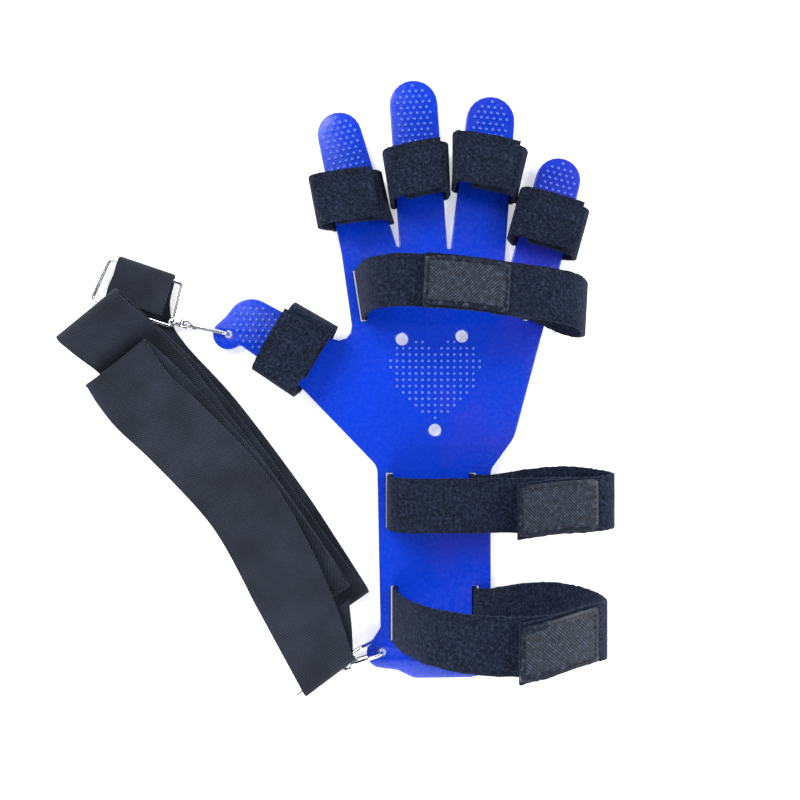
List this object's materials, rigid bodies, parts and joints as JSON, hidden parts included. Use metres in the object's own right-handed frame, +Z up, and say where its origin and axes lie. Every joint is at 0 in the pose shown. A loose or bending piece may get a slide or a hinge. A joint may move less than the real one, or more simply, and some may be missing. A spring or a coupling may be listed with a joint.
{
  "type": "hand and finger splint",
  "caption": "Blue plastic hand board with finger slats, loop-tape finger and cuff straps, and a folded shoulder webbing clipped on by wire snap hooks",
  "frame": {"origin": "middle of the wrist strap's under-run, on the surface that the splint lies on", "axes": "+X to the little finger's side, +Y to the fingertips, +Z up, away from the surface that it lies on"},
  "size_m": [0.275, 0.318, 0.0647],
  "materials": {
    "blue_plastic": "smooth moulded sheet, glossy",
    "loop_tape": "fuzzy black loop pile",
    "hook_tape": "stiff black hook tape with a fine grid",
    "webbing": "fine twill weave",
    "chrome": "bright plated wire"
  },
  "bodies": {
    "splint": {"hand_board": "blue_plastic", "thumb_strap": "loop_tape", "index_strap": "loop_tape", "middle_strap": "loop_tape", "ring_strap": "loop_tape", "little_strap": "loop_tape", "palm_strap": "loop_tape", "wrist_strap": "loop_tape", "forearm_strap": "loop_tape", "palm_patch": "hook_tape", "wrist_patch": "hook_tape", "forearm_patch": "hook_tape", "shoulder_webbing": "webbing", "thumb_hook": "chrome", "ear_hook": "chrome"},
    "thumb_gate": {"thumb_hook_gate": "chrome"},
    "ear_gate": {"ear_hook_gate": "chrome"}
  },
  "joints": [
    {"name": "thumb_gate_hinge", "type": "hinge", "parent": "splint", "child": "thumb_gate", "pos_m": [-0.12662, 0.09144, 0.0066], "axis": [0.225, 0.9744, 0], "range_deg": [0, 24], "stiffness_Nm_per_rad": 0.002},
    {"name": "ear_gate_hinge", "type": "hinge", "parent": "splint", "child": "ear_gate", "pos_m": [-0.04316, -0.08517, 0.0066], "axis": [-0.3173, 0.9483, 0], "range_deg": [0, 24], "stiffness_Nm_per_rad": 0.002}
  ]
}
